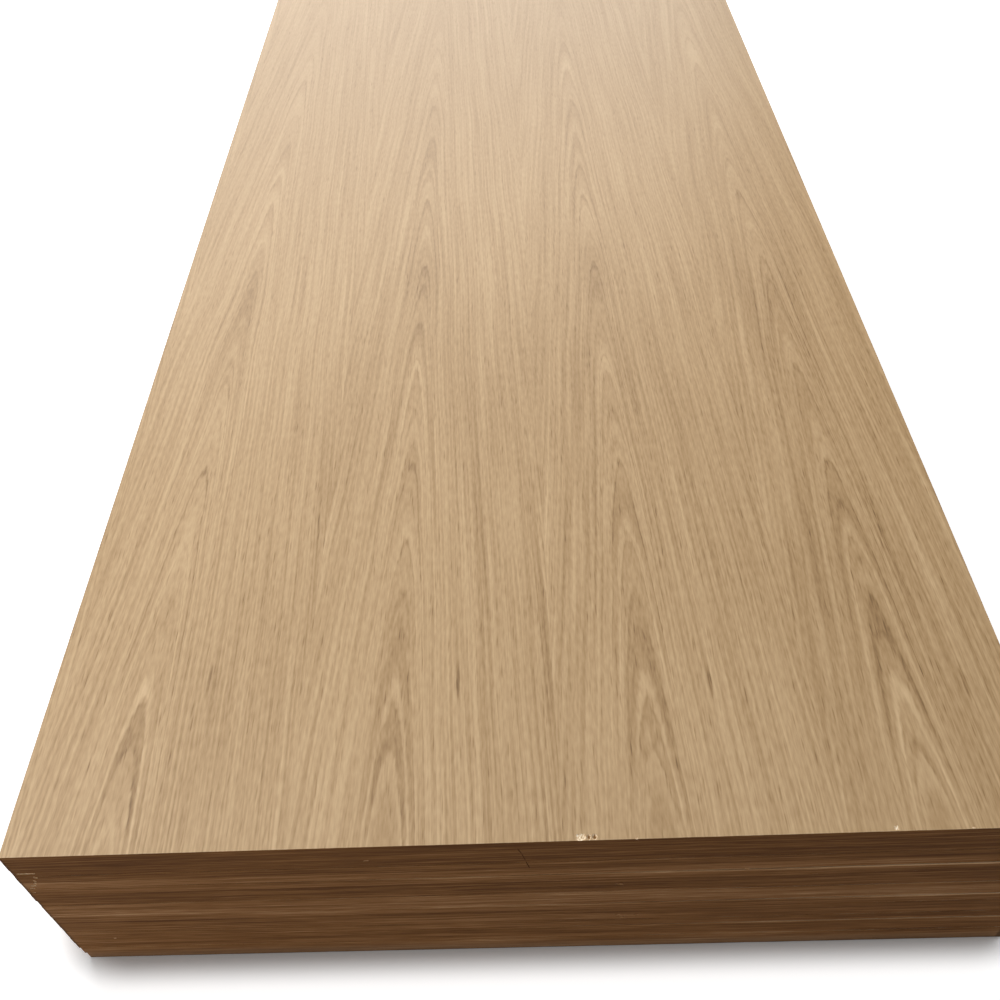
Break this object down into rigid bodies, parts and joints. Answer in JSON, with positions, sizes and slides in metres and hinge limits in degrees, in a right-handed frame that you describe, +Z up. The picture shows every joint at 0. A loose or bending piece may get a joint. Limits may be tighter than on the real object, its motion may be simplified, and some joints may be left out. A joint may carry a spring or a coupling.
{
  "type": "stack of plywood sheets",
  "caption": "Squared stack of veneered plywood sheets lying flat, each sheet a separate board with a crown-cut oak-like face and dark trimmed edges.",
  "frame": {"origin": "middle of the stack's footprint, on the floor that its underside rests on", "axes": "+Z up through the stack, +Y along the sheets' length and face grain, +X across their width"},
  "size_m": [1.2318, 2.4438, 0.324],
  "materials": {
    "plywood": "unfinished sanded oak-like veneer face, dark brown trimmed ply edges"
  },
  "bodies": {
    "root": {"sheet_01": "plywood", "sheet_02": "plywood", "sheet_03": "plywood", "sheet_04": "plywood", "sheet_05": "plywood", "sheet_06": "plywood", "sheet_07": "plywood", "sheet_08": "plywood", "sheet_09": "plywood", "sheet_10": "plywood", "sheet_11": "plywood", "sheet_12": "plywood", "sheet_13": "plywood", "sheet_14": "plywood", "sheet_15": "plywood", "sheet_16": "plywood", "sheet_17": "plywood", "sheet_18": "plywood"}
  },
  "joints": []
}
